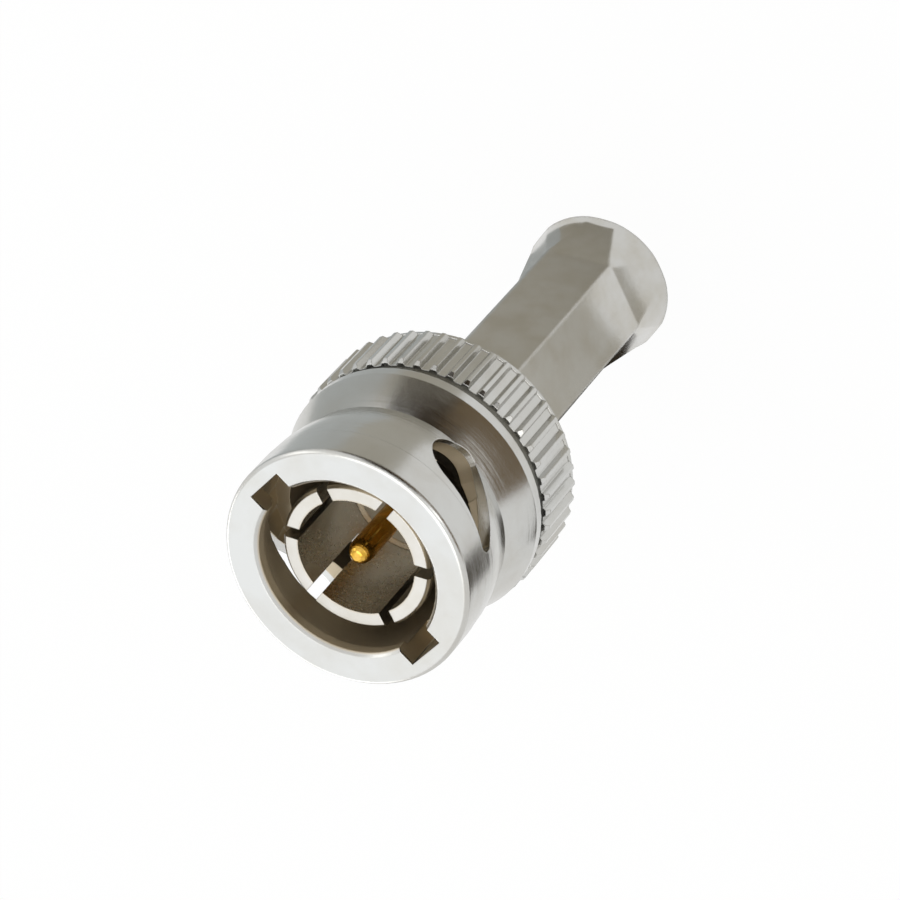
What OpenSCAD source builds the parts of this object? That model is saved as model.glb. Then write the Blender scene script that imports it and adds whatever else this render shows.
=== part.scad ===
// Bayonet crimp plug for thin coaxial cable: a quarter-turn coupling nut that
// floats on spring washers round a plug body with a slotted outer contact, a
// gold centre pin and a crimp sleeve that has already been pressed to a hexagon.
//
// +Z points out of the mating end. The origin is the centre of the crimp
// sleeve's rear rim, on which the plug stands. Lengths along the axis are given
// as depths behind the nut's front face, and at(depth) turns one into a height.

/* [Coupling nut] */
// Bore that slides over the barrel of the mating socket
nut_bore_d = 9.8; // [9.6:0.05:10]
// Outside diameter of the front collar
collar_d = 13.5; // [13.1:0.1:13.9]
// Length of the straight front collar
collar_l = 2.8; // [2.4:0.1:3.2]
// Smallest outside diameter, at the waist
waist_d = 12.5; // [12.4:0.1:12.8]
// Depth of the waist behind the front face
waist_depth = 5.6; // [5.3:0.1:5.9]
// Outside diameter of the smooth shoulder in front of the knurl
shoulder_d = 14.15; // [13.9:0.05:14.4]
// Length of the flare from the waist up to the shoulder
flare_l = 2.1; // [1.9:0.1:2.2]
// Length of the smooth shoulder
shoulder_l = 0.8; // [0.6:0.1:1]
// Length of the bore's front land
land_l = 0.75; // [0.5:0.05:1]
// Diameter of the relieved bore behind the front land
relief_d = 10.2; // [10.1:0.05:10.4]
// Diameter of the rear chamber that holds the flange and the washers
chamber_d = 12.3; // [12.1:0.05:12.5]
// Thickness of the lip behind the retaining ring
rear_lip_t = 0.5; // [0.4:0.05:0.8]

/* [Knurl] */
// Diameter over the knurl's ridges
knurl_d = 14.5; // [14.45:0.05:14.9]
// Height of a ridge above the valley
ridge_h = 0.3; // [0.2:0.05:0.4]
// Number of straight ridges
ridge_count = 48; // [36:2:56]
// Width of a ridge's crest
crest_w = 0.22; // [0.15:0.01:0.3]
// Width of a ridge at its root
ridge_root_w = 0.5; // [0.4:0.02:0.6]
// Width of the groove between the shoulder and the knurl
groove_w = 0.35; // [0.2:0.05:0.5]
// Depth of that groove below the shoulder
groove_h = 0.45; // [0.3:0.05:0.5]
// Length of the smooth land behind the knurl
rear_land_l = 0.35; // [0.2:0.05:0.5]

/* [Bayonet track] */
// Width of the track that the socket's lugs run in
track_w = 2.3; // [2.2:0.05:2.4]
// Distance across the floors of the two tracks
track_floor_d = 11.7; // [11.5:0.05:11.8]
// Depth at which a lug leaves the straight entry
entry_depth = 2; // [1.9:0.1:2.2]
// Depth of the locking seat at the end of the track
seat_depth = 4.2; // [4.1:0.05:4.3]
// Turn from the entry to the locking seat, in degrees
lock_turn = 88.5; // [85:0.5:90]
// Diameter of the round end of the window over the locking seat
window_d = 3.1; // [2.9:0.05:3.2]
// Diameter of the window's narrow end
window_tip_d = 0.9; // [0.7:0.05:1.2]
// Angle between the window's two ends, in degrees
window_turn = 33; // [28:1:36]
// Depth of the window's narrow end
window_tip_depth = 2.75; // [2.6:0.05:2.9]

/* [Outer contact] */
// Depth of the contact's tip behind the nut's front face
tip_recess = 1.25; // [1:0.05:1.6]
// Outside diameter of the contact fingers at their lips
finger_d = 8.15; // [8.05:0.05:8.3]
// Outside diameter of the contact tube behind the lips
contact_d = 7.9; // [7.7:0.05:8]
// Inside diameter of the contact at its mouth
contact_bore_d = 6.5; // [6.4:0.05:6.6]
// Length of the raised lips
lip_l = 1.1; // [0.8:0.1:1.5]
// Length of the slots between the fingers
slot_l = 5.2; // [4.5:0.1:5.6]
// Width of the slots between the fingers
slot_w = 0.65; // [0.5:0.05:0.8]
// Depth of the spigot that is pressed into the body
spigot_l = 2; // [1.6:0.1:2.4]

/* [Centre pin] */
// Diameter of the mating pin
pin_d = 1.34; // [1.3:0.01:1.4]
// Depth of the pin's tip behind the nut's front face
pin_recess = 1.3; // [1.1:0.1:2]
// Length of the pin's tapered nose
nose_l = 0.8; // [0.5:0.1:1.2]
// Diameter of the pin where the insulator bead holds it
held_d = 1.7; // [1.65:0.05:1.8]
// Diameter of the pin's crimp barrel
barrel_d = 2.1; // [2:0.05:2.2]
// Length of the crimp barrel
barrel_l = 3.4; // [3:0.1:3.5]
// Bore for the cable's inner conductor
conductor_d = 0.9; // [0.7:0.05:1]

/* [Insulators and gasket] */
// Thickness of the front insulator bead
bead_t = 1.7; // [1.4:0.1:2]
// Thickness of the rear insulator
rear_insulator_t = 1.2; // [1:0.1:1.4]
// Thickness of the rubber gasket on the flange
gasket_t = 0.9; // [0.6:0.1:1.2]
// Outside diameter of the gasket
gasket_d = 9.6; // [9.3:0.1:9.7]

/* [Plug body] */
// Depth of the flange's front face, where the nut's inner shoulder rests
flange_depth = 8.2; // [8:0.1:8.4]
// Thickness of the flange
flange_t = 1.2; // [1:0.1:1.4]
// Diameter of the hub behind the nut
hub_d = 8.4; // [8:0.1:8.8]
// Length of the hub that shows behind the nut
hub_l = 1.9; // [1.6:0.1:2.4]
// Diameter of the collar that the crimp sleeve sits on
collar_seat_d = 6.5; // [6.3:0.05:6.6]
// Length of that collar
collar_seat_l = 1.1; // [0.8:0.1:1.2]
// Outside diameter of the crimp stem
stem_d = 4.7; // [4.5:0.05:4.8]
// Length of the crimp stem behind its collar
stem_l = 9.4; // [8:0.2:10.4]
// Bore of the stem, for the cable's dielectric
dielectric_d = 3.8; // [3.7:0.05:3.9]
// Diameter of the chamber round the pin's crimp barrel
chamber_bore_d = 4.8; // [4.6:0.1:5]
// Number of braid-gripping grooves round the stem
stem_groove_count = 9; // [5:1:10]

/* [Spring set] */
// Width of the space for the washers, from the barrel that carries them to the chamber's wall
strip_w = 1.15; // [1.05:0.05:1.25]
// Thickness of each flat thrust washer
washer_t = 0.3; // [0.2:0.05:0.4]
// Free height of the wave washer
wave_h = 1.6; // [1.5:0.05:1.8]
// Thickness of the wave washer's strip
wave_t = 0.2; // [0.15:0.05:0.3]
// Number of waves round the washer
wave_count = 3; // [3:1:4]
// Thickness of the retaining ring
ring_t = 0.6; // [0.5:0.05:0.8]
// Gap in the split retaining ring, in degrees
ring_gap = 28; // [20:1:40]

/* [Crimp sleeve] */
// Outside diameter of the sleeve where it was not crimped
sleeve_d = 7.6; // [7.5:0.05:7.65]
// Distance across the flats of the crimped hexagon
hex_af = 6.62; // [6.56:0.02:6.7]
// Bore inside the crimped hexagon
crimp_bore_d = 5.55; // [5.4:0.05:5.6]
// Length of the sleeve
sleeve_l = 18; // [17:0.5:19]
// Length of the round mouth in front of the crimp
sleeve_mouth_l = 1.3; // [1.2:0.1:1.8]
// Length of the round rear end behind the crimp
bell_l = 3.5; // [3:0.1:4]
// Length of the slope at each end of the crimp
die_slope_l = 0.6; // [0.4:0.05:0.8]
// Outside diameter of the bell's rim
bell_d = 8.5; // [8.3:0.05:8.8]
// Wall of the bell at its rim
bell_wall = 0.4; // [0.35:0.05:0.5]
// Turn of the hexagon about the axis, in degrees
hex_turn = 37.6; // [0:0.1:60]

/* [Fits] */
// Radial gap of parts that turn or slide on each other
running_gap = 0.07; // [0.05:0.01:0.1]
// Radial gap of parts that are pushed together
push_gap = 0.02; // [0.01:0.01:0.03]
// Radial gap round the loose wave washer and the retaining ring
loose_gap = 0.3; // [0.25:0.01:0.35]

/* [Hidden] */
$fn = 96;
eps = 0.5; // how far a cutter runs past the face that it cuts

nickel = "#c9cbc8";
gold = "#b8963f";
steel = "#a9adb0";
white_plastic = "#eceae4";
dark_rubber = "#3a3734";

// Depths along the axis, from the mating face to the rear
flange_back = flange_depth + flange_t;
wave_front = flange_back + washer_t;
wave_back = wave_front + wave_h;
ring_front = wave_back + washer_t;
ring_back = ring_front + ring_t;
nut_l = ring_back + rear_lip_t;
hub_back = nut_l + hub_l;
overall = hub_back + sleeve_l;
stem_front = hub_back + collar_seat_l;
stem_back = stem_front + stem_l;
bead_front = flange_depth + spigot_l;
bead_back = bead_front + bead_t;
rear_insulator_front = bead_back + push_gap;
rear_insulator_back = rear_insulator_front + rear_insulator_t;
barrel_back = bead_back + barrel_l;
dielectric_gap = 0.2; // the cable's dielectric stops just behind the pin
dielectric_front = barrel_back + dielectric_gap;
hex_front = hub_back + sleeve_mouth_l;
bell_front = overall - bell_l;

shoulder_front = waist_depth + flare_l;
shoulder_back = shoulder_front + shoulder_l;
groove_back = shoulder_back + groove_w;
knurl_back = nut_l - rear_land_l;
valley_r = knurl_d / 2 - ridge_h;

// The washers' barrel follows the chamber that it stands in
journal_d = chamber_d - 2 * strip_w;

// The bore of the contact steps in to a land that traps the insulator bead
bead_land_l = 2.4;
bead_land_h = 0.2;
bead_land_r = contact_bore_d / 2 - bead_land_h;
bead_r = contact_bore_d / 2 - push_gap;
ring_groove_h = 0.35; // depth of the retaining ring's groove
ring_groove_r = chamber_d / 2 + ring_groove_h;

// Height of a point that lies a given depth behind the front face
function at(depth) = overall - depth;

// Points of an arc in the half-plane, from angle a to angle b
function arc(c, r, a, b, n = 6) =
    [for (i = [0:n]) c + r * [cos(a + (b - a) * i / n), sin(a + (b - a) * i / n)]];

// Turns [radius, depth] points into a solid of revolution
module turned(points) {
    rotate_extrude()
        polygon([for (p = points) [p[0], at(p[1])]]);
}

// Plain ring between two depths
module sleeve(front, back, outer_d, inner_d) {
    difference() {
        translate([0, 0, at(back)])
            cylinder(h = back - front, d = outer_d);
        translate([0, 0, at(back) - eps])
            cylinder(h = back - front + 2 * eps, d = inner_d);
    }
}

// ---------------------------------------------------------------- coupling nut

edge_round = 0.3; // rounding of the front collar's edge
mouth_chamfer = 0.2; // chamfer of the bore's mouth
step_h = 0.05; // fine turned step behind the front collar's polished band
step_depth = 2.15;
bore_step = 0.15; // slope between the front land and the relief behind it
shoulder_round = 0.25; // rounding of the shoulder's rear edge
knurl_chamfer = 0.15; // bevels at the knurl's two ends
knurl_lead = 0.25;
land_rise = 0.05; // how far the rear land stands over the knurl's valleys
land_chamfer = 0.15;

// Radius of the body between the front collar and the waist
function body_r(depth) =
    let (t = (depth - collar_l) / (waist_depth - collar_l))
    waist_d / 2 + (collar_d / 2 - step_h - waist_d / 2) * cos(90 * t);

// Radius of the concave flare between the waist and the shoulder
function flare_r(depth) =
    let (t = (depth - waist_depth) / flare_l)
    waist_d / 2 + (shoulder_d / 2 - waist_d / 2) * (1.25 * t - 0.25 * t * t) * (0.9 + 0.1 * t);

function nut_outline() = concat(
    [[nut_bore_d / 2 + mouth_chamfer, 0]],
    arc([collar_d / 2 - edge_round, edge_round], edge_round, -90, 0),
    [[collar_d / 2, step_depth], [collar_d / 2 - step_h, step_depth + step_h]],
    [for (i = [0:8]) let (d = collar_l + (waist_depth - collar_l) * i / 8) [body_r(d), d]],
    [for (i = [1:8]) let (d = waist_depth + flare_l * i / 8) [flare_r(d), d]],
    arc([shoulder_d / 2 - shoulder_round, shoulder_back - shoulder_round], shoulder_round, 0, 60, 3),
    [[shoulder_d / 2 - groove_h, shoulder_back], [shoulder_d / 2 - groove_h, groove_back],
     [knurl_d / 2 - knurl_chamfer, groove_back], [knurl_d / 2, groove_back + knurl_lead],
     [knurl_d / 2, knurl_back - knurl_chamfer], [valley_r + land_rise, knurl_back],
     [valley_r + land_rise, nut_l - land_chamfer], [valley_r + land_rise - land_chamfer, nut_l]]);

function nut_inside() = [
    [chamber_d / 2, nut_l], [chamber_d / 2, ring_back], [ring_groove_r, ring_back],
    [ring_groove_r, ring_front], [chamber_d / 2, ring_front], [chamber_d / 2, flange_depth],
    [relief_d / 2, flange_depth], [relief_d / 2, land_l + bore_step], [nut_bore_d / 2, land_l],
    [nut_bore_d / 2, mouth_chamfer]];

// Valleys between the knurl's straight ridges
module knurl_valleys() {
    pitch = 360 / ridge_count;
    phase = 0.56; // the first ridge's place, in pitches past +X
    root_a = asin(ridge_root_w / 2 / valley_r);
    crest_a = asin(crest_w / knurl_d);
    reach = 0.15; // how far the ridges' straight sides run on past the crests
    tip_a = crest_a - (root_a - crest_a) * reach / ridge_h;
    translate([0, 0, at(knurl_back)])
        linear_extrude(height = knurl_back - shoulder_back - groove_w / 2)
            difference() {
                circle(d = knurl_d + 1);
                polygon([for (i = [0:ridge_count - 1]) for (p = [
                    [valley_r, -root_a], [knurl_d / 2 + reach, -tip_a],
                    [knurl_d / 2 + reach, tip_a], [valley_r, root_a]])
                    p[0] * [cos((i + phase) * pitch + p[1]), sin((i + phase) * pitch + p[1])]]);
            }
}

// Track of one lug: a straight entry, a ramp milled in straight passes, a seat
module lug_track() {
    passes = 6;
    overlap = 0.3;
    seat_play = 0.1;
    floor_r = track_floor_d / 2;
    start_r = nut_bore_d / 2 - 1;
    turn = lock_turn / passes;
    drop = (seat_depth - entry_depth) / passes;
    chord = 2 * floor_r * sin(turn / 2);
    slope = atan(drop / chord);
    pass_l = chord / cos(slope) + overlap;
    translate([start_r, -track_w / 2, at(entry_depth + track_w / 2)])
        cube([floor_r - start_r, track_w, entry_depth + track_w / 2 + eps]);
    for (i = [0:passes - 1])
        rotate([0, 0, (i + 0.5) * turn])
            translate([start_r, 0, at(entry_depth + (i + 0.5) * drop)])
                rotate([-slope, 0, 0])
                    translate([0, -pass_l / 2, -track_w / 2])
                        cube([floor_r - start_r, pass_l, track_w]);
    rotate([0, 0, lock_turn])
        translate([start_r, 0, at(seat_depth)])
            rotate([0, 90, 0])
                cylinder(h = floor_r - start_r + seat_play, d = track_w + seat_play);
}

// Drop-shaped window through the wall over the locking seat
module seat_window() {
    big_r = window_d / 2;
    tip_r = window_tip_d / 2;
    mid = lock_turn - window_turn / 2;
    span = collar_d * sin(window_turn / 2);
    rise = seat_depth - window_tip_depth;
    axis_l = sqrt(span * span + rise * rise);
    lean = asin((big_r - tip_r) / axis_l);
    tilt = atan(rise / span);
    rotate([0, 0, mid])
        translate([nut_bore_d / 2 - 1, span / 2, at(seat_depth)])
            rotate([-tilt, 0, 0])
                rotate([0, 90, 0])
                    linear_extrude(height = collar_d / 2)
                        polygon(concat(
                            arc([0, 0], big_r, -lean, 180 + lean, 30),
                            arc([0, -axis_l], tip_r, 180 + lean, 360 - lean, 14)));
}

module coupling_nut() {
    color(nickel)
        difference() {
            turned(concat(nut_outline(), nut_inside()));
            knurl_valleys();
            for (side = [0, 180])
                rotate([0, 0, side]) {
                    lug_track();
                    seat_window();
                }
        }
}

// ------------------------------------------------------------------ spring set

module retaining_ring() {
    outer_r = ring_groove_r - running_gap;
    color(steel)
        difference() {
            sleeve(ring_front + push_gap, ring_back - push_gap, 2 * outer_r, journal_d + 2 * loose_gap);
            rotate([0, 0, -90 - ring_gap / 2])
                translate([0, 0, at(ring_back) - eps])
                    rotate_extrude(angle = ring_gap)
                        translate([journal_d / 4, 0])
                            square([outer_r, ring_t + 2 * eps]);
        }
}

module rear_thrust_washer() {
    color(steel)
        sleeve(wave_back, ring_front, chamber_d - 2 * running_gap, journal_d + 2 * running_gap);
}

module front_thrust_washer() {
    color(steel)
        sleeve(flange_back, wave_front, chamber_d - 2 * running_gap, journal_d + 2 * running_gap);
}

// Wavy strip, built section by section round the axis
module wave_washer() {
    steps = 72;
    inner = journal_d / 2 + loose_gap;
    outer = chamber_d / 2 - loose_gap;
    play = 0.02;
    swing = (wave_h - wave_t) / 2 - play;
    middle = (wave_front + wave_back) / 2;
    function height(i) = at(middle) + swing * cos(wave_count * 360 * i / steps);
    function section(i) = let (a = 360 * i / steps) [
        for (p = [[inner, -1], [outer, -1], [outer, 1], [inner, 1]])
            [p[0] * cos(a), p[0] * sin(a), height(i) + p[1] * wave_t / 2]];
    color(steel)
        polyhedron(
            points = [for (i = [0:steps - 1]) for (p = section(i)) p],
            faces = [for (i = [0:steps - 1]) for (k = [0:3]) for (half = [0, 1])
                let (a = 4 * i, b = 4 * ((i + 1) % steps), m = (k + 1) % 4)
                half == 0 ? [a + k, b + k, b + m] : [a + k, b + m, a + m]]);
}

// ------------------------------------------------------------------- plug body

// Flange, journal, hub and crimp stem, turned from one bar
module plug_body() {
    plain_l = 1; // plain ends of the stem, in front of and behind its grooves
    groove_depth = 0.2;
    relief = 0.15;
    pitch = (stem_l - 2 * plain_l) / stem_groove_count;
    chamfer = 0.3;
    color(nickel)
        turned(concat(
            [[contact_d / 2 + push_gap, flange_depth], [chamber_d / 2 - running_gap, flange_depth],
             [chamber_d / 2 - running_gap, flange_back], [journal_d / 2, flange_back],
             [journal_d / 2, nut_l + relief], [journal_d / 2 - chamfer, nut_l + relief + chamfer],
             [hub_d / 2, nut_l + relief + chamfer], [hub_d / 2, hub_back - chamfer],
             [hub_d / 2 - chamfer, hub_back], [collar_seat_d / 2, hub_back],
             [collar_seat_d / 2, stem_front - relief], [collar_seat_d / 2 - relief, stem_front],
             [stem_d / 2, stem_front]],
            [for (i = [0:stem_groove_count - 1])
                for (p = [[0, 0.2], [groove_depth, 0.4], [groove_depth, 0.7], [0, 0.9]])
                    [stem_d / 2 - p[0], stem_front + plain_l + (i + p[1]) * pitch]],
            [[stem_d / 2, stem_back - chamfer], [stem_d / 2 - chamfer, stem_back],
             [dielectric_d / 2, stem_back], [dielectric_d / 2, dielectric_front],
             [chamber_bore_d / 2, dielectric_front], [chamber_bore_d / 2, rear_insulator_back],
             [bead_r + push_gap, rear_insulator_back], [bead_r + push_gap, bead_front],
             [contact_d / 2 + push_gap, bead_front]]));
}

// Six spring fingers on a tube, slit by three passes of a saw
module outer_contact() {
    chamfer = 0.15;
    lip_slope = 0.5; // length of the slope behind the lip
    // Each pass of the slitting saw: its direction in degrees and its distance off the axis
    saw_passes = [[37, 0.3], [96.5, 0.45], [158.5, 0]];
    inner_r = contact_bore_d / 2;
    outer_r = contact_d / 2;
    lip_back = tip_recess + lip_l;
    color(nickel)
        difference() {
            turned([[inner_r, tip_recess], [finger_d / 2 - chamfer, tip_recess],
                    [finger_d / 2, tip_recess + chamfer], [finger_d / 2, lip_back],
                    [outer_r, lip_back + lip_slope], [outer_r, bead_front],
                    [bead_land_r, bead_front], [bead_land_r, bead_front - bead_land_l],
                    [inner_r, bead_front - bead_land_l - bead_land_h]]);
            for (pass = saw_passes)
                rotate([0, 0, pass[0]])
                    translate([-finger_d, pass[1] - slot_w / 2, at(tip_recess + slot_l)])
                        cube([2 * finger_d, slot_w, slot_l + eps]);
        }
}

module gasket() {
    edge = 0.2;
    outer = gasket_d / 2;
    inner = contact_d / 2 + running_gap;
    front = flange_depth - gasket_t;
    color(dark_rubber)
        turned([[inner, front], [outer - edge, front], [outer, front + edge],
                [outer, flange_depth - edge], [outer - edge, flange_depth], [inner, flange_depth]]);
}

// ------------------------------------------------- centre pin and its insulators

module centre_pin() {
    r = pin_d / 2;
    flat_r = 0.14; // small flat at the nose
    step_gap = 0.3; // the thicker stretch starts just in front of the bead
    chamfer = 0.15;
    web = 1; // metal left in front of the conductor's bore
    sight_d = 0.5;
    barrel_r = barrel_d / 2;
    bore_l = barrel_l - web;
    held_front = bead_front - step_gap;
    color(gold)
        difference() {
            turned(concat(
                [[0, pin_recess]],
                [for (i = [0:8]) [flat_r + (r - flat_r) * sin(i * 90 / 8),
                                  pin_recess + nose_l * (1 - cos(i * 90 / 8))]],
                [[r, held_front], [held_d / 2, held_front], [held_d / 2, bead_back],
                 [barrel_r, bead_back], [barrel_r, barrel_back - chamfer],
                 [barrel_r - chamfer, barrel_back], [0, barrel_back]]));
            translate([0, 0, at(barrel_back) - eps])
                cylinder(h = bore_l + eps, d = conductor_d);
            // Sight hole that shows the seated conductor
            translate([0, 0, at(barrel_back - bore_l + sight_d)])
                rotate([0, 90, 0])
                    cylinder(h = barrel_d, d = sight_d);
        }
}

module front_insulator() {
    color(white_plastic)
        sleeve(bead_front, bead_back, 2 * bead_r, held_d + 2 * push_gap);
}

module rear_insulator() {
    color(white_plastic)
        sleeve(rear_insulator_front, rear_insulator_back, 2 * bead_r, barrel_d + 2 * push_gap);
}

// ---------------------------------------------------------------- crimp sleeve

// Radius of the flared rear end, as a share t of its length, from one radius to another
function flare(t, from, to) = from + (to - from) * (0.55 * t + 0.45 * pow(t, 2));

// Six-sided solid between two depths, each with its radius to the flats
module six_sided(front, back, front_r, back_r) {
    translate([0, 0, at(back)])
        cylinder(h = back - front, r1 = back_r / cos(30), r2 = front_r / cos(30), $fn = 6);
}

module crimp_sleeve() {
    steps = 10;
    rim_round = 0.12;
    sink = 0.05; // how far the round ends' roots lie below the flats
    corner_step = 0.02; // the die's corners just touch the tube
    tube_r = sleeve_d / 2;
    tube_wall = (sleeve_d - collar_seat_d) / 2 - push_gap;
    root_r = hex_af / 2 - sink;
    bore_r = crimp_bore_d / 2;
    flare_front = bell_front + die_slope_l;
    flare_l = overall - flare_front;
    flat_rim_r = bell_d / 2 - sink; // the flats have all but run out at the rim
    function station(i) = flare_front + flare_l * i / steps;
    color(nickel)
        difference() {
            union() {
                turned([[0, hub_back], [tube_r - rim_round, hub_back], [tube_r, hub_back + rim_round],
                        [tube_r, hex_front], [root_r, hex_front + die_slope_l],
                        [0, hex_front + die_slope_l]]);
                intersection() {
                    translate([0, 0, at(flare_front)])
                        rotate([0, 0, hex_turn])
                            cylinder(h = flare_front - hex_front, d = hex_af / cos(30), $fn = 6);
                    translate([0, 0, at(flare_front)])
                        cylinder(h = flare_front - hex_front, r = tube_r - corner_step);
                }
                intersection() {
                    turned(concat(
                        [[0, bell_front - eps], [tube_r - corner_step, bell_front - eps]],
                        [for (i = [0:steps - 1]) [flare(i / steps, tube_r, bell_d / 2), station(i)]],
                        [[bell_d / 2, overall - rim_round], [bell_d / 2 - rim_round, overall],
                         [0, overall]]));
                    rotate([0, 0, hex_turn])
                        union() {
                            six_sided(bell_front - eps, bell_front, root_r, root_r);
                            six_sided(bell_front, overall, root_r, flat_rim_r);
                        }
                }
            }
            turned(concat(
                [[0, hub_back - eps], [collar_seat_d / 2 + push_gap, hub_back - eps],
                 [collar_seat_d / 2 + push_gap, hex_front], [bore_r, hex_front + die_slope_l],
                 [bore_r, bell_front]],
                [for (i = [0:steps])
                    [flare(i / steps, tube_r - tube_wall, bell_d / 2 - bell_wall), station(i)]],
                [[bell_d / 2 - bell_wall, overall + eps], [0, overall + eps]]));
        }
}

coupling_nut();
retaining_ring();
rear_thrust_washer();
wave_washer();
front_thrust_washer();
plug_body();
outer_contact();
centre_pin();
front_insulator();
rear_insulator();
gasket();
crimp_sleeve();
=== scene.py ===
# %% [markdown]
# # A bayonet crimp plug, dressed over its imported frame
# The plug's solids come from the frame with their true sizes. This lesson gives each of
# them the finish that the real metal, plastic or rubber has, adds the one piece that has
# to change its shape as the plug moves, and sets a camera and a soft studio round them.
# The frame is loaded first, because the sizes that later steps need are read from it.

import math

import bmesh
import bpy
from mathutils import Matrix, Vector


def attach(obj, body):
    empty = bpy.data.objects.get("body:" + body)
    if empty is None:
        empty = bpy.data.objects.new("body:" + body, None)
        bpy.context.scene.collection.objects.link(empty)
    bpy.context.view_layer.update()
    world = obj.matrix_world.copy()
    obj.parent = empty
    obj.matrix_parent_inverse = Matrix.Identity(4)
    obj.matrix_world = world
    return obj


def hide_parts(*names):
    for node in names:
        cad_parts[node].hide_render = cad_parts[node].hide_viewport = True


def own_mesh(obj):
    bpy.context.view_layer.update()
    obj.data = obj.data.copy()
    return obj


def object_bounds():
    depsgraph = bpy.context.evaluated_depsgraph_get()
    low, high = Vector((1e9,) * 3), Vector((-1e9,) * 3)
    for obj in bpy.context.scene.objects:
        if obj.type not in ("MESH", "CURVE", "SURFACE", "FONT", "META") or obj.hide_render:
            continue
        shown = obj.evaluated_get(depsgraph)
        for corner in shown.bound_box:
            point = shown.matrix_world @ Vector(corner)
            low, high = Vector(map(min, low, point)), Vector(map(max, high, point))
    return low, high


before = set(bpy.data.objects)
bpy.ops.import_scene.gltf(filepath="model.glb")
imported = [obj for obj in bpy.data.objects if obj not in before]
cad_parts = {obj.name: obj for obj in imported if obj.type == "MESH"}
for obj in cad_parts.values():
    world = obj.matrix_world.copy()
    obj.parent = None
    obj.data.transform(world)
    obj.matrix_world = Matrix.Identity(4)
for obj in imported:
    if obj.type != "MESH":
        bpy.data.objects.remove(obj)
cad_box = [list(corner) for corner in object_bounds()]
bpy.ops.object.select_all(action="DESELECT")
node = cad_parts
MM = 0.001
LENGTH = cad_box[1][2]
print("frame nodes:", sorted(node))
print("overall length %.2f mm" % (LENGTH / MM))


# %% [markdown]
# ## Colour and node helpers
# Blender's shaders work in linear light, while a colour given here is an sRGB hex
# value. One function turns one into the other. A second adds a shader node with its
# settings and links in one line, so that each finish below reads like a recipe.

# %% Helpers for finishes
NOISE_LOW, NOISE_HIGH = 0.3, 0.7  # nearly all values of a noise lie between these


def linear(hex_colour):
    """Linear RGBA of an sRGB hex colour."""
    channels = [int(hex_colour[i:i + 2], 16) / 255 for i in (1, 3, 5)]
    return [c / 12.92 if c <= 0.04045 else ((c + 0.055) / 1.055) ** 2.4 for c in channels] + [1.0]


def add(tree, kind, settings=None, stops=None, **inputs):
    """Adds a node. Inputs are set by socket name, with _ for a space, or by place as i0.

    A socket given as a value is linked. Stops are the (place, hex colour) of a ramp.
    """
    made = tree.nodes.new(kind)
    for key, value in (settings or {}).items():
        setattr(made, key, value)
    for i, (place, colour) in enumerate(stops or []):
        band = made.color_ramp.elements
        mark = band[i] if i < 2 else band.new(place)  # a new ramp has two marks already
        mark.position, mark.color = place, linear(colour)
    for key, value in inputs.items():
        by_place = key[0] == "i" and key[1:].isdigit()
        socket = made.inputs[int(key[1:]) if by_place else key.replace("_", " ")]
        if isinstance(value, bpy.types.NodeSocket):
            tree.links.new(value, socket)
        else:
            socket.default_value = value
    return made


def new_finish(name):
    """An empty node material and its tree."""
    finish = bpy.data.materials.new(name)
    finish.use_nodes = True
    finish.node_tree.nodes.clear()
    return finish, finish.node_tree


print("sRGB mid grey in linear light:", [round(c, 3) for c in linear("#808080")[:3]])


# %% [markdown]
# ## Where the bore is
# The bores of the real plug, and the tracks milled into the nut, are duller than the
# outside, because cutters leave them rough. They are also painted warmer and a little
# darker, a painted shade for their dim inside. A mask could be painted by hand. This one
# is computed from the place, so it needs no picture: it is 1 within a radius of the axis
# and below the front face, and 0 elsewhere.

# %% Bore mask
WALL_FADE = 0.05 * MM  # the mask fades out over this much of the radius
FACE_FADE = (0.2 * MM, 0.1 * MM)  # and between these depths below the front face


def inside_bore(tree, place, bore_mm):
    """1 inside a radius in mm and below the front face, else 0."""
    across = add(tree, "ShaderNodeMapping", Vector=place, Scale=(1, 1, 0))
    radius = add(tree, "ShaderNodeVectorMath", {"operation": "LENGTH"},
                 i0=across.outputs["Vector"])
    within = add(tree, "ShaderNodeMapRange", Value=radius.outputs["Value"],
                 From_Min=bore_mm * MM, From_Max=bore_mm * MM + WALL_FADE, To_Min=1.0, To_Max=0.0)
    level = add(tree, "ShaderNodeSeparateXYZ", Vector=place)
    below = add(tree, "ShaderNodeMapRange", Value=level.outputs["Z"],
                From_Min=LENGTH - FACE_FADE[0], From_Max=LENGTH - FACE_FADE[1],
                To_Min=1.0, To_Max=0.0)
    return add(tree, "ShaderNodeMath", {"operation": "MULTIPLY"}, i0=within.outputs["Result"],
               i1=below.outputs["Result"]).outputs["Value"]


print("bore mask fades over %.2f mm of the radius" % (WALL_FADE / MM))


# %% [markdown]
# ## Marks of the lathe
# A lathe leaves rings round the axis. Cut into the mesh they would take millions of
# faces, so they are bumps: a noise squeezed along X and Y changes along Z alone, which
# makes rings. Coarse rings come from chatter, fine ones from the tool's feed, and small
# pits from the plating. The Bevel node rounds the edges a little in the shading.

# %% Lathe marks
EDGE_ROUND = 0.07 * MM  # tumbling and plating leave no edge sharper than this
CHATTER_RINGS = 4  # a chatter ring is as wide as this many feed rings
CHATTER_DEPTH = 3  # and as deep as this many


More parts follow.
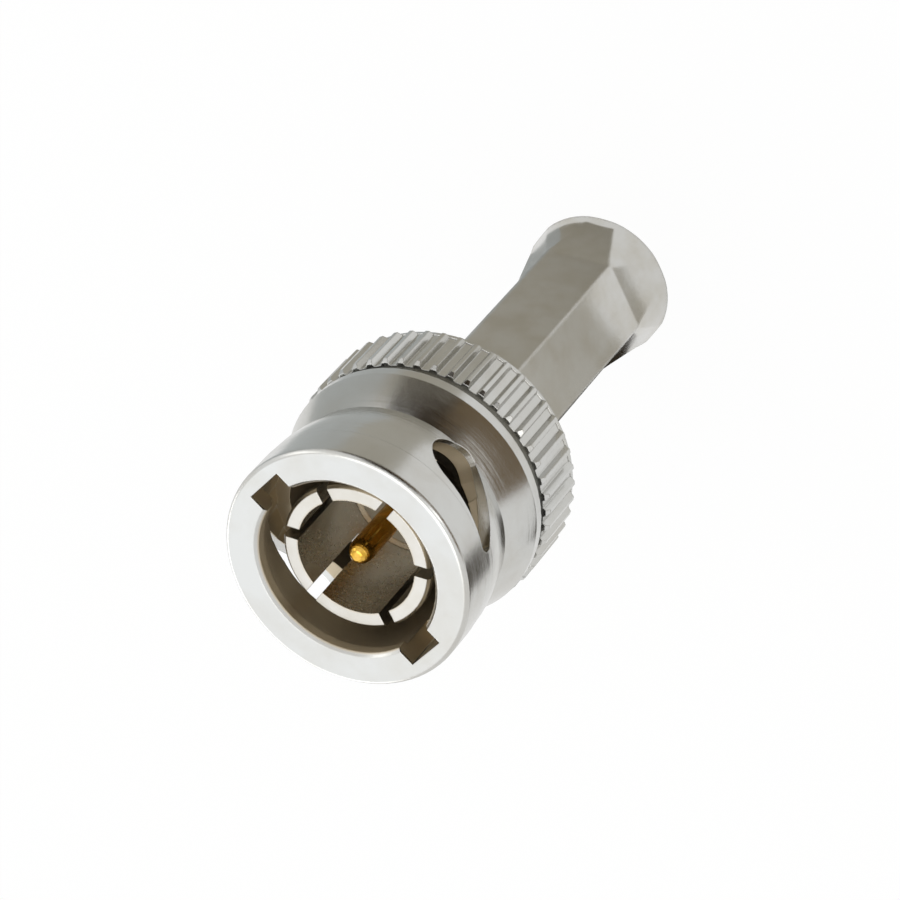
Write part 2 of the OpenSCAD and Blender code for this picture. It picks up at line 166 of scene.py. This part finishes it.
def lathe_marks(tree, place, specks, ring_mm, ring_depth_mm):
    """The normal of a turned surface."""
    soft = add(tree, "ShaderNodeBevel", {"samples": 4}, Radius=EDGE_ROUND)
    coarse = add(tree, "ShaderNodeMapping", Vector=place,
                 Scale=(12, 12, 1 / (CHATTER_RINGS * ring_mm * MM)))
    passes = add(tree, "ShaderNodeTexNoise", Vector=coarse.outputs["Vector"], Scale=1.0,
                 Detail=1.0)
    chatter = add(tree, "ShaderNodeBump", Height=passes.outputs["Fac"], Strength=0.5,
                  Distance=CHATTER_DEPTH * ring_depth_mm * MM, Normal=soft.outputs["Normal"])
    along = add(tree, "ShaderNodeMapping", Vector=place, Scale=(40, 40, 1 / (ring_mm * MM)))
    rings = add(tree, "ShaderNodeTexNoise", Vector=along.outputs["Vector"], Scale=1.0, Detail=3.0)
    grooves = add(tree, "ShaderNodeBump", Height=rings.outputs["Fac"], Strength=0.6,
                  Distance=ring_depth_mm * MM, Normal=chatter.outputs["Normal"])
    pits = add(tree, "ShaderNodeBump", Height=specks.outputs["Fac"], Strength=0.3,
               Distance=0.008 * MM, Normal=grooves.outputs["Normal"])
    return pits.outputs["Normal"]


print("edges are shaded with a radius of %.2f mm" % (EDGE_ROUND / MM))


# %% [markdown]
# ## Nickel plate over turned brass
# The nut, the body and the contact are turned brass under a few microns of nickel, a
# warm grey mirror. Rings too fine to draw smear its reflections along the axis, which is
# what the shader's anisotropy is for: a Tangent node that runs round Z tells it which way
# they lie. Slow noise varies the haze and the warmth of the plate, as handling does.

# %% Turned nickel finish
PATCH_MM = 3.5  # size of stains and handling marks
SPECK_MM = 0.2  # size of the plating's pits and specks
BORE_SHADE = "#C1B49C"  # painted warm shade for the dim bore


def turned_nickel(name, light, warm, roughness, smear, ring_mm, ring_depth_mm, bore_mm,
                  bore_haze, bore_shade_share):
    """Nickel on turned brass, hazier inside its bore, with a painted warm shade there."""
    finish, tree = new_finish(name)
    place = add(tree, "ShaderNodeTexCoord").outputs["Object"]
    patches = add(tree, "ShaderNodeTexNoise", Vector=place, Scale=1 / (PATCH_MM * MM),
                  Detail=4.0, Roughness=0.6)
    specks = add(tree, "ShaderNodeTexNoise", Vector=place, Scale=1 / (SPECK_MM * MM), Detail=2.0)
    inside = inside_bore(tree, place, bore_mm)
    # Colour: two tones of plate in patches, and a warmer painted shade in the bore.
    tone = add(tree, "ShaderNodeValToRGB", stops=[(0.3, warm), (0.62, light)],
               Fac=patches.outputs["Fac"])
    # the bore's painted warm shade is mixed into the plate by this share
    share = add(tree, "ShaderNodeMath", {"operation": "MULTIPLY"}, i0=inside, i1=bore_shade_share)
    # A colour Mix node keeps its two colours in the sockets 6 and 7.
    tone_and_bore_shade = add(tree, "ShaderNodeMix", {"data_type": "RGBA"}, i0=share.outputs["Value"],
               i6=tone.outputs["Color"], i7=linear(BORE_SHADE))
    # Haze: patches, specks and the bore add up.
    dull = add(tree, "ShaderNodeMapRange", Value=patches.outputs["Fac"], From_Min=NOISE_LOW,
               From_Max=NOISE_HIGH, To_Min=roughness * 1.15, To_Max=roughness * 0.85)
    speckled = add(tree, "ShaderNodeMath", {"operation": "MULTIPLY_ADD"},
                   i0=specks.outputs["Fac"], i1=0.08, i2=dull.outputs["Result"])
    hazy = add(tree, "ShaderNodeMath", {"operation": "MULTIPLY_ADD"}, i0=inside, i1=bore_haze,
               i2=speckled.outputs["Value"])
    round_z = add(tree, "ShaderNodeTangent", {"direction_type": "RADIAL", "axis": "Z"})
    metal = add(tree, "ShaderNodeBsdfPrincipled", Base_Color=tone_and_bore_shade.outputs["Result"],
                Metallic=1.0, Roughness=hazy.outputs["Value"], Anisotropic=smear,
                Normal=lathe_marks(tree, place, specks, ring_mm, ring_depth_mm),
                Tangent=round_z.outputs["Tangent"])
    add(tree, "ShaderNodeOutputMaterial", Surface=metal.outputs["BSDF"])
    return finish


# The last argument sets how much painted warm shade each bore gets.
nut_plate = turned_nickel(
    "Nickel plate on turned brass", "#C8C8C5", "#C0BEB8", roughness=0.18, smear=0.45,
    ring_mm=0.12, ring_depth_mm=0.006, bore_mm=5.9, bore_haze=0.34, bore_shade_share=1.0)
contact_plate = turned_nickel(
    "Bright nickel plate on spring brass", "#CCC9C2", "#C2BDB2", roughness=0.18, smear=0.3,
    ring_mm=0.2, ring_depth_mm=0.002, bore_mm=3.3, bore_haze=0.04, bore_shade_share=0.4)
body_plate = turned_nickel(
    "Nickel plate on the plug body", "#BDBAB2", "#AFA99C", roughness=0.2, smear=0.4,
    ring_mm=0.15, ring_depth_mm=0.004, bore_mm=3.9, bore_haze=0.2, bore_shade_share=1.0)
print("turned finishes:", nut_plate.name, "/", contact_plate.name, "/", body_plate.name)


# %% [markdown]
# ## Drawn and crimped sleeve
# The sleeve is soft annealed tube: nickel over brass again, but drawn through a die, so
# its fine marks run along the axis instead of round it. The crimp tool's jaws have left
# the flats slightly rippled and printed their own grain into them. All three are bumps,
# because none is deeper than a few hundredths of a millimetre.

# %% Sleeve finish
DRAW_MARK_MM = (0.12, 6)  # width and length of a draw mark
RIPPLE_MM = 1.6
JAW_GRAIN_MM = 0.22
CRIMP_ROUND = 0.25 * MM  # edges of the pressed hexagon are rounder than turned ones


def drawn_nickel():
    finish, tree = new_finish("Nickel plate on drawn tube")
    place = add(tree, "ShaderNodeTexCoord").outputs["Object"]
    wide, long = (1 / (size * MM) for size in DRAW_MARK_MM)
    lengthwise = add(tree, "ShaderNodeMapping", Vector=place, Scale=(wide, wide, long))
    marks = add(tree, "ShaderNodeTexNoise", Vector=lengthwise.outputs["Vector"], Scale=1.0,
                Detail=3.0)
    ripple = add(tree, "ShaderNodeTexNoise", Vector=place, Scale=1 / (RIPPLE_MM * MM), Detail=5.0)
    print_grain = add(tree, "ShaderNodeTexNoise", Vector=place, Scale=1 / (JAW_GRAIN_MM * MM),
                      Detail=4.0, Roughness=0.65)
    tone = add(tree, "ShaderNodeValToRGB", stops=[(0.32, "#BDBAB2"), (0.62, "#C6C5C1")],
               Fac=ripple.outputs["Fac"])
    dull = add(tree, "ShaderNodeMapRange", Value=marks.outputs["Fac"], From_Min=NOISE_LOW,
               From_Max=NOISE_HIGH, To_Min=0.14, To_Max=0.22)
    soft = add(tree, "ShaderNodeBevel", {"samples": 4}, Radius=CRIMP_ROUND)
    broad = add(tree, "ShaderNodeBump", Height=ripple.outputs["Fac"], Strength=0.3,
                Distance=0.012 * MM, Normal=soft.outputs["Normal"])
    fine = add(tree, "ShaderNodeBump", Height=marks.outputs["Fac"], Strength=0.3,
               Distance=0.003 * MM, Normal=broad.outputs["Normal"])
    grain = add(tree, "ShaderNodeBump", Height=print_grain.outputs["Fac"], Strength=0.35,
                Distance=0.012 * MM, Normal=fine.outputs["Normal"])
    metal = add(tree, "ShaderNodeBsdfPrincipled", Base_Color=tone.outputs["Color"], Metallic=1.0,
                Roughness=dull.outputs["Result"], Normal=grain.outputs["Normal"])
    add(tree, "ShaderNodeOutputMaterial", Surface=metal.outputs["BSDF"])
    return finish


sleeve_plate = drawn_nickel()
print("sleeve finish:", sleeve_plate.name)


# %% [markdown]
# ## Gold and spring steel
# The centre pin is gold plated for a lasting contact, and gold's colour is in its
# reflection, so it is a metal with a yellow base. The washers and the ring are plain
# spring steel. One recipe serves both: a fine grain that varies tone, haze and bump.

# %% Plain metals
def plain_metal(name, light, dark, roughness, grain_mm):
    finish, tree = new_finish(name)
    place = add(tree, "ShaderNodeTexCoord").outputs["Object"]
    grain = add(tree, "ShaderNodeTexNoise", Vector=place, Scale=1 / (grain_mm * MM), Detail=3.0)
    tone = add(tree, "ShaderNodeValToRGB", stops=[(0.35, dark), (0.6, light)],
               Fac=grain.outputs["Fac"])
    dull = add(tree, "ShaderNodeMapRange", Value=grain.outputs["Fac"], From_Min=NOISE_LOW,
               From_Max=NOISE_HIGH, To_Min=roughness * 1.3, To_Max=roughness * 0.8)
    bump = add(tree, "ShaderNodeBump", Height=grain.outputs["Fac"], Strength=0.2,
               Distance=0.003 * MM)
    metal = add(tree, "ShaderNodeBsdfPrincipled", Base_Color=tone.outputs["Color"], Metallic=1.0,
                Roughness=dull.outputs["Result"], Normal=bump.outputs["Normal"])
    add(tree, "ShaderNodeOutputMaterial", Surface=metal.outputs["BSDF"])
    return finish


pin_gold = plain_metal("Gold plate on brass", "#DDB052", "#C79A38", roughness=0.13, grain_mm=0.3)
spring_steel = plain_metal("Stainless spring steel", "#A6A7A8", "#8E8F90", roughness=0.28,
                           grain_mm=0.4)
print("plain metals:", pin_gold.name, "/", spring_steel.name)


# %% [markdown]
# ## Fluoropolymer and silicone
# The insulators are white fluoropolymer, which is waxy and lets a little light in, and
# that is what subsurface scattering is for. The gasket is matt dark silicone, which lets
# none in. Both have an index of refraction of their own, unlike the metals.

# %% Soft finishes
def soft_plastic(name, light, dark, roughness, grain_mm, glow, ior):
    finish, tree = new_finish(name)
    place = add(tree, "ShaderNodeTexCoord").outputs["Object"]
    grain = add(tree, "ShaderNodeTexNoise", Vector=place, Scale=1 / (grain_mm * MM), Detail=3.0)
    tone = add(tree, "ShaderNodeValToRGB", stops=[(0.35, dark), (0.65, light)],
               Fac=grain.outputs["Fac"])
    bump = add(tree, "ShaderNodeBump", Height=grain.outputs["Fac"], Strength=0.25,
               Distance=0.006 * MM)
    body = add(tree, "ShaderNodeBsdfPrincipled", Base_Color=tone.outputs["Color"],
               Roughness=roughness, IOR=ior, Subsurface_Weight=glow,
               Subsurface_Radius=(0.3 * MM, 0.25 * MM, 0.2 * MM), Normal=bump.outputs["Normal"])
    add(tree, "ShaderNodeOutputMaterial", Surface=body.outputs["BSDF"])
    return finish


white_insulator = soft_plastic("White fluoropolymer", "#EFEDE6", "#E2DFD6", roughness=0.45,
                               grain_mm=0.5, glow=0.25, ior=1.35)
dark_silicone = soft_plastic("Dark silicone rubber", "#45403A", "#37322D", roughness=0.6,
                             grain_mm=0.3, glow=0.0, ior=1.43)
print("soft finishes:", white_insulator.name, "/", dark_silicone.name)


# %% [markdown]
# ## Dress the frame's nodes
# A solid whose shape is already right keeps its mesh and only changes its material.

# %% Materials onto the nodes
finishes = {
    "coupling_nut": nut_plate, "plug_body": body_plate, "outer_contact": contact_plate,
    "crimp_sleeve": sleeve_plate, "centre_pin": pin_gold,
    "retaining_ring": spring_steel, "rear_thrust_washer": spring_steel,
    "front_thrust_washer": spring_steel, "wave_washer": spring_steel,
    "front_insulator": white_insulator, "rear_insulator": white_insulator,
    "gasket": dark_silicone,
}
for name, finish in finishes.items():
    mesh = node[name].data
    mesh.materials.clear()
    mesh.materials.append(finish)
print("dressed", len(finishes), "nodes")


# %% [markdown]
# ## The wave washer that flattens
# Inside the nut a wavy spring ring pushes the nut back. When the nut is pulled forward
# the waves flatten, which a rigid solid can't show. So a copy of the solid stands in for
# it. A copy of the solid is made as a piece of its own, though here it keeps the solid's
# shape. Its loose triangles are merged into one skin, which a CAD mesh needs before its
# shading can be smooth.

# %% Wave spring
bpy.ops.object.select_all(action="DESELECT")
node["wave_washer"].select_set(True)
bpy.context.view_layer.objects.active = node["wave_washer"]
bpy.ops.object.duplicate()
spring = bpy.context.object
spring.name = "wave_spring"
bpy.ops.object.mode_set(mode="EDIT")
bpy.ops.mesh.select_all(action="SELECT")
bpy.ops.mesh.remove_doubles(threshold=0.001 * MM)
bpy.ops.object.mode_set(mode="OBJECT")
bpy.ops.object.shade_smooth_by_angle(angle=math.radians(30))
print("wave spring: %d points" % len(spring.data.vertices))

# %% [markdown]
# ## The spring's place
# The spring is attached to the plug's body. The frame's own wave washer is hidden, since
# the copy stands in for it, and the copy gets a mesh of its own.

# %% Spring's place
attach(spring, "plug")
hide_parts("wave_washer")
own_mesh(spring)
bpy.ops.object.select_all(action="DESELECT")


# %% [markdown]
# ## White floor
# The floor has two jobs. The camera, and whatever mirrors it, should see plain white, so
# for those rays it glows with a strength of 1. All other rays meet matt paint, which
# bounces a soft light up at the sides. A small share of the paint shows through the
# glow, and with it the plug's shadow.

# %% Floor
FLOOR_GLOW = 0.94  # share of the floor that shows as pure white


def seen_or_mirrored(tree):
    """1 where the camera, a reflection or a clear body shows the background, else 0."""
    rays = add(tree, "ShaderNodeLightPath")
    mirrored = add(tree, "ShaderNodeMath", {"operation": "MAXIMUM"},
                   i0=rays.outputs["Is Glossy Ray"], i1=rays.outputs["Is Transmission Ray"])
    return add(tree, "ShaderNodeMath", {"operation": "MAXIMUM"},
               i0=rays.outputs["Is Camera Ray"], i1=mirrored.outputs["Value"]).outputs["Value"]


bpy.ops.mesh.primitive_plane_add(size=1.6, location=(0, 0, 0))
floor = bpy.context.object
floor.name = "studio_floor"
paint, tree = new_finish("White studio floor")
share = add(tree, "ShaderNodeMath", {"operation": "MULTIPLY"}, i0=seen_or_mirrored(tree),
            i1=FLOOR_GLOW)
lit = add(tree, "ShaderNodeBsdfDiffuse", Color=linear("#F4F4F2"), Roughness=0.5)
white = add(tree, "ShaderNodeEmission", Color=(1, 1, 1, 1), Strength=1.0)
blend = add(tree, "ShaderNodeMixShader", Fac=share.outputs["Value"], i1=lit.outputs["BSDF"],
            i2=white.outputs["Emission"])
add(tree, "ShaderNodeOutputMaterial", Surface=blend.outputs["Shader"])
floor.data.materials.append(paint)
print("floor", tuple(round(s, 2) for s in floor.dimensions))


# %% [markdown]
# ## Soft light from all round
# The world is a sky that is dim and warm at the horizon and lighter overhead, like a
# room with a pale ceiling. As with the floor, the camera and mirror rays get plain white
# instead, so that the background is white from every side.

# %% World
SKY_STRENGTH = 0.9
world = bpy.data.worlds.new("Soft studio")
bpy.context.scene.world = world
world.use_nodes = True
tree = world.node_tree
tree.nodes.clear()
direction = add(tree, "ShaderNodeTexCoord").outputs["Generated"]
height = add(tree, "ShaderNodeSeparateXYZ", Vector=direction).outputs["Z"]
sky = add(tree, "ShaderNodeValToRGB", Fac=height,
          stops=[(0.0, "#A9A59C"), (1.0, "#E6E7E8"), (0.12, "#B9B6AF"), (0.45, "#D2D2D0")])
light = add(tree, "ShaderNodeBackground", Color=sky.outputs["Color"], Strength=SKY_STRENGTH)
clear = add(tree, "ShaderNodeBackground", Color=(1, 1, 1, 1), Strength=1.0)
blend = add(tree, "ShaderNodeMixShader", Fac=seen_or_mirrored(tree),
            i1=light.outputs["Background"], i2=clear.outputs["Background"])
add(tree, "ShaderNodeOutputWorld", Surface=blend.outputs["Shader"])
print("world:", world.name)


# %% [markdown]
# ## Panels of light
# A small shiny part shows its surroundings more than its own colour, so the studio is
# what draws it. One large panel sits where the flat front face mirrors it, others at the
# sides draw bright streaks down the turned metal, and a wide one overhead lights the
# bore. Area lamps do this well: their size and distance set how soft each streak is.

# %% Panels
STUDIO_CENTRE = Vector((0, 0, 20 * MM))  # the middle of the plug


def aim(azimuth, elevation, distance):
    """A point at a direction in degrees, seen from the middle of the plug."""
    a, e = math.radians(azimuth), math.radians(elevation)
    outwards = Vector((math.cos(a) * math.cos(e), math.sin(a) * math.cos(e), math.sin(e)))
    return outwards * distance + STUDIO_CENTRE


def face_plug(thing):
    """Turns a thing so that its -Z side looks at the middle of the plug."""
    inwards = STUDIO_CENTRE - thing.location
    thing.rotation_euler = inwards.to_track_quat("-Z", "Y").to_euler()


def panel(name, azimuth, elevation, distance, width, depth, brightness, hex_colour="#FFFFFF"):
    """A rectangular lamp that faces the plug. Brightness 1 shows as white in a mirror."""
    bpy.ops.object.light_add(type="AREA", location=aim(azimuth, elevation, distance))
    lamp = bpy.context.object
    lamp.name = name
    face_plug(lamp)
    lamp.data.shape, lamp.data.size, lamp.data.size_y = "RECTANGLE", width, depth
    lamp.data.energy = brightness * math.pi * width * depth
    lamp.data.color = linear(hex_colour)[:3]


panel("face_panel", 276, 51, 0.45, 0.44, 0.42, 0.46, "#F0F6FF")
panel("rim_panel", 268, 12, 0.45, 0.56, 0.14, 2.2)
panel("left_streak", 190, 30, 0.45, 0.12, 0.34, 1.2)
panel("centre_streak", 72, 16, 0.40, 0.06, 0.16, 2.5)
panel("top_panel", 90, 84, 0.35, 0.32, 0.32, 1.5)


# %% [markdown]
# ## A card that stands off
# Polished metal with nothing dark to mirror looks like paint. A photographer sets cards
# round the object for that. Here the camera doesn't see them, and they cast no shadow:
# a card is only there for reflections. The first one stands upright and faces the plug.

# %% Standing card
def matt_card(sheet, name, hex_colour):
    """Makes a mesh a matt card that only reflections show."""
    sheet.name = name
    matt, tree = new_finish(name.replace("_", " "))
    paper = add(tree, "ShaderNodeBsdfDiffuse", Color=linear(hex_colour))
    add(tree, "ShaderNodeOutputMaterial", Surface=paper.outputs["BSDF"])
    sheet.data.materials.append(matt)
    sheet.visible_camera = sheet.visible_shadow = sheet.visible_diffuse = False


def standing_card(name, azimuth, elevation, distance, width, height, hex_colour):
    """A card that stands off and faces the plug."""
    bpy.ops.mesh.primitive_plane_add(size=1.0, location=aim(azimuth, elevation, distance))
    sheet = bpy.context.object
    sheet.scale = (width, height, 1)
    face_plug(sheet)
    matt_card(sheet, name, hex_colour)


standing_card("brown_card_standing", 116, 12, 0.25, 0.20, 0.14, "#33281B")
print("one standing card")


# %% [markdown]
# ## Cards on the floor
# Seen from above, the plug's upright sides mirror the floor, each strip of the metal its
# own patch of it. So a card cut as part of a ring darkens or warms just one strip: its
# two azimuths choose the side, and its two radii choose how far down the plug it shows.

# %% Table cards
CARD_HEIGHT = 0.4 * MM  # the cards lie this far over the floor
CIRCLE_POINTS = 180  # each face of the ring spans two degrees


def table_card(name, first, last, inner, outer, hex_colour):
    """A flat card on the floor: part of a ring, from one azimuth in degrees to another."""
    bpy.ops.mesh.primitive_circle_add(vertices=CIRCLE_POINTS, radius=inner,
                                      location=(0, 0, CARD_HEIGHT))
    sheet = bpy.context.object
    bpy.ops.object.mode_set(mode="EDIT")
    bpy.ops.mesh.extrude_region_move()
    bpy.ops.transform.resize(value=(outer / inner, outer / inner, 1))
    mesh = bmesh.from_edit_mesh(sheet.data)
    for face in mesh.faces:
        centre = face.calc_center_median()
        azimuth = math.degrees(math.atan2(centre.y, centre.x)) % 360
        face.select = not first <= azimuth <= last
    bmesh.update_edit_mesh(sheet.data)
    bpy.ops.mesh.delete(type="FACE")
    bpy.ops.object.mode_set(mode="OBJECT")
    matt_card(sheet, name, hex_colour)


table_card("warm_card_left", 116, 166, 0.0044, 0.14, "#B9B5AB")
table_card("cool_card_left", 166, 222, 0.0044, 0.14, "#BEC1C1")
table_card("grey_card_centre", 14, 92, 0.0075, 0.017, "#CFCCC5")
table_card("brown_card_front", 40, 114, 0.05, 0.35, "#77664F")
table_card("brown_card_left", 114, 156, 0.05, 0.35, "#33281B")
table_card("dark_card_right", 0, 28, 0.028, 0.06, "#40382E")
table_card("dark_card_low", 296, 356, 0.005, 0.0165, "#3A342B")


# %% [markdown]
# ## Camera
# The camera looks down on the mating end from the side where one window shows. A long
# lens keeps the plug's rims nearly parallel, as in a product picture. The camera could
# track an empty, but that can't set its roll, so it is turned by a matrix whose columns
# are the picture's right, its up and the way back to the viewer.

# %% Camera
CAMERA_PLACE = Vector((-13.80, 130.99, 183.31)) * MM
LENS, SENSOR = 160.5, 36
right = Vector((0.6903, 0.5917, -0.4163))
up = Vector((-0.7206, 0.5101, -0.4697))
back = right.cross(up)
turn = Matrix((right, up, back)).transposed().to_4x4()
bpy.ops.object.camera_add()
camera = bpy.context.object
camera.matrix_world = Matrix.Translation(CAMERA_PLACE) @ turn
camera.data.lens = LENS
camera.data.sensor_width = SENSOR
camera.data.clip_start = 5 * MM
bpy.context.scene.camera = camera
bpy.context.scene.view_settings.view_transform = "Standard"
off_face = (camera.location - Vector((0, 0, LENGTH))).length
print("camera %.0f mm from the front face" % (off_face / MM))
